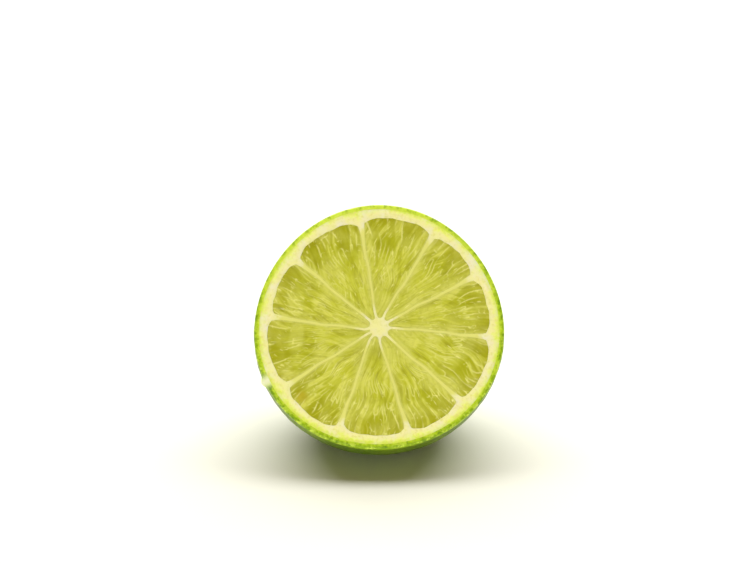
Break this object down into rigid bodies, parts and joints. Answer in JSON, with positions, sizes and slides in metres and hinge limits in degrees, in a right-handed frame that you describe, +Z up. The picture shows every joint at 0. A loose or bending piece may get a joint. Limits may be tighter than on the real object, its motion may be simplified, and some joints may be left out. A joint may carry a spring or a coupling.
{
  "type": "half lime",
  "caption": "Half a lime cut across its middle, standing on a small flat spot with its juicy cut face leaning back and the nipple at the blossom end behind.",
  "frame": {"origin": "middle of the small flat spot that the half stands on", "axes": "+Z up; the cut face looks toward -Y and leans back 36 degrees; +X to the right, seen from the cut face"},
  "size_m": [0.052, 0.0455, 0.0486],
  "materials": {
    "peel": "waxy dark green peel, softly glossy, with fine oil-gland pores",
    "pith": "moist cream pith, membranes and core",
    "pulp": "wet, translucent yellow-green juice sacs"
  },
  "bodies": {
    "root": {"half_lime": "peel"}
  },
  "joints": []
}
